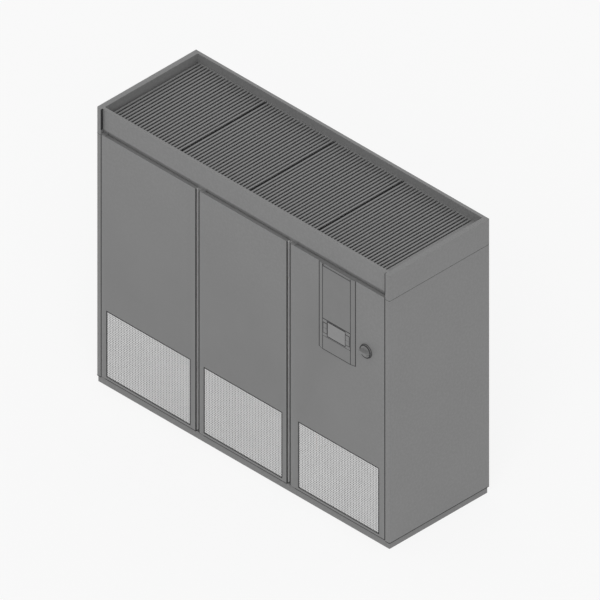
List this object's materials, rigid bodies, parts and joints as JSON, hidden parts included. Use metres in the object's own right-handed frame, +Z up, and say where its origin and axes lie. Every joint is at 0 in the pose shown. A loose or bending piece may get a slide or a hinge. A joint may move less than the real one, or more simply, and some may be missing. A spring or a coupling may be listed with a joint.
{
  "type": "computer room air conditioner",
  "caption": "Floor-standing computer room air conditioner with hinged doors, top intake louvres, lower supply grilles, coil, fans and controls.",
  "frame": {"origin": "on the floor at the middle of the base", "axes": "+X to the right seen from the front, +Y from the doors to the back, +Z up"},
  "size_m": [2.47, 0.876, 2],
  "materials": {
    "cabinet_paint": "fine satin powder coat",
    "door_paint": "fine satin powder coat",
    "grille_paint": "matt powder coat",
    "plinth_paint": "matt powder coat",
    "frame_steel": "galvanised",
    "louvre_paint": "fine satin powder coat",
    "filter_media": "pleated synthetic fibre",
    "foam": "closed-cell foam",
    "bezel_plastic": "fine moulded texture",
    "housing_plastic": "fine moulded texture",
    "screen_glass": "glossy",
    "key_plastic": "satin",
    "handle_plastic": "satin",
    "steel_shaft": "turned",
    "fan_aluminium": "satin",
    "motor_cast": "black painted casting",
    "coil_aluminium": "mill finish",
    "copper": "drawn copper tube",
    "tray_steel": "stainless",
    "compressor_paint": "semi-gloss black",
    "device_plastic": "moulded",
    "cylinder_plastic": "moulded"
  },
  "bodies": {
    "cabinet": {"base_frame": "plinth_paint", "floor_pan": "frame_steel", "frame_uprights": "frame_steel", "top_rails": "cabinet_paint", "left_end_panel": "cabinet_paint", "right_end_panel": "cabinet_paint", "hood_left_cap": "cabinet_paint", "hood_right_cap": "cabinet_paint", "hood_back_panel": "cabinet_paint", "hood_front_fascia": "cabinet_paint", "hood_filler_strip": "louvre_paint", "back_panels": "cabinet_paint", "service_recess": "frame_steel", "filter_rack": "frame_steel", "door_fittings": "frame_steel", "fan_deck": "frame_steel", "fan_inlet_nozzles": "frame_steel", "fan_motor_left": "motor_cast", "fan_motor_middle": "motor_cast", "coil_slabs": "coil_aluminium", "coil_end_plates": "frame_steel", "coil_headers": "copper", "drain_trays": "tray_steel", "reheat_rods": "tray_steel", "technical_bulkhead": "frame_steel", "compressors": "compressor_paint", "refrigerant_pipes": "copper", "electrical_board": "frame_steel", "isolator_switch": "device_plastic", "switchgear": "device_plastic", "controller": "device_plastic", "humidifier_cylinder": "cylinder_plastic"},
    "door_left": {"door_left_panel": "door_paint", "door_left_lining": "foam", "door_left_grille": "grille_paint"},
    "door_middle": {"door_middle_panel": "door_paint", "door_middle_lining": "foam", "door_middle_grille": "grille_paint"},
    "door_right": {"door_right_panel": "door_paint", "door_right_lining": "foam", "door_right_grille": "grille_paint", "display_bezel": "bezel_plastic", "display_housing": "housing_plastic", "display_screen": "screen_glass"},
    "isolator_handle": {"isolator_handle": "handle_plastic"},
    "isolator_shaft": {"isolator_shaft": "steel_shaft"},
    "fan_wheel_left": {"fan_wheel_left": "fan_aluminium"},
    "fan_wheel_middle": {"fan_wheel_middle": "fan_aluminium"},
    "key_1": {"key_1": "key_plastic"},
    "key_2": {"key_2": "key_plastic"},
    "key_3": {"key_3": "key_plastic"},
    "key_4": {"key_4": "key_plastic"},
    "louvre_module_1": {"louvre_grille_1": "louvre_paint", "filter_1": "filter_media"},
    "louvre_module_2": {"louvre_grille_2": "louvre_paint", "filter_2": "filter_media"},
    "louvre_module_3": {"louvre_grille_3": "louvre_paint", "filter_3": "filter_media"},
    "louvre_module_4": {"louvre_grille_4": "louvre_paint", "filter_4": "filter_media"}
  },
  "joints": [
    {"name": "door_left_hinge", "type": "hinge", "parent": "cabinet", "child": "door_left", "pos_m": [-1.183, -0.412, 0], "axis": [0, 0, -1], "range_deg": [0, 100]},
    {"name": "door_middle_hinge", "type": "hinge", "parent": "cabinet", "child": "door_middle", "pos_m": [-0.357, -0.412, 0], "axis": [0, 0, -1], "range_deg": [0, 100]},
    {"name": "door_right_hinge", "type": "hinge", "parent": "cabinet", "child": "door_right", "pos_m": [0.411, -0.412, 0], "axis": [0, 0, -1], "range_deg": [0, 100]},
    {"name": "key_1_press", "type": "slide", "parent": "door_right", "child": "key_1", "axis": [0, 1, 0], "range_m": [0, 0.0015], "stiffness_N_per_m": 350},
    {"name": "key_2_press", "type": "slide", "parent": "door_right", "child": "key_2", "axis": [0, 1, 0], "range_m": [0, 0.0015], "stiffness_N_per_m": 350},
    {"name": "key_3_press", "type": "slide", "parent": "door_right", "child": "key_3", "axis": [0, 1, 0], "range_m": [0, 0.0015], "stiffness_N_per_m": 350},
    {"name": "key_4_press", "type": "slide", "parent": "door_right", "child": "key_4", "axis": [0, 1, 0], "range_m": [0, 0.0015], "stiffness_N_per_m": 350},
    {"name": "louvre_module_1_lift", "type": "slide", "parent": "cabinet", "child": "louvre_module_1", "axis": [0, 0, 1], "range_m": [0, 0.25]},
    {"name": "louvre_module_2_lift", "type": "slide", "parent": "cabinet", "child": "louvre_module_2", "axis": [0, 0, 1], "range_m": [0, 0.25]},
    {"name": "louvre_module_3_lift", "type": "slide", "parent": "cabinet", "child": "louvre_module_3", "axis": [0, 0, 1], "range_m": [0, 0.25]},
    {"name": "louvre_module_4_lift", "type": "slide", "parent": "cabinet", "child": "louvre_module_4", "axis": [0, 0, 1], "range_m": [0, 0.25]},
    {"name": "isolator_turn", "type": "hinge", "parent": "door_right", "child": "isolator_handle", "pos_m": [1.039, -0.42, 1.356], "axis": [0, 1, 0], "range_deg": [0, 90]},
    {"name": "isolator_shaft_turn", "type": "hinge", "parent": "cabinet", "child": "isolator_shaft", "pos_m": [1.039, -0.24, 1.356], "axis": [0, 1, 0], "range_deg": [0, 90]},
    {"name": "fan_wheel_left_spin", "type": "hinge", "parent": "cabinet", "child": "fan_wheel_left", "pos_m": [-0.79, 0.004, 0.43], "axis": [0, 0, 1], "continuous": true},
    {"name": "fan_wheel_middle_spin", "type": "hinge", "parent": "cabinet", "child": "fan_wheel_middle", "pos_m": [0, 0.004, 0.43], "axis": [0, 0, 1], "continuous": true}
  ],
  "couplings": [
    {"joint": "isolator_shaft_turn", "follows": "isolator_turn", "ratio": 1}
  ]
}
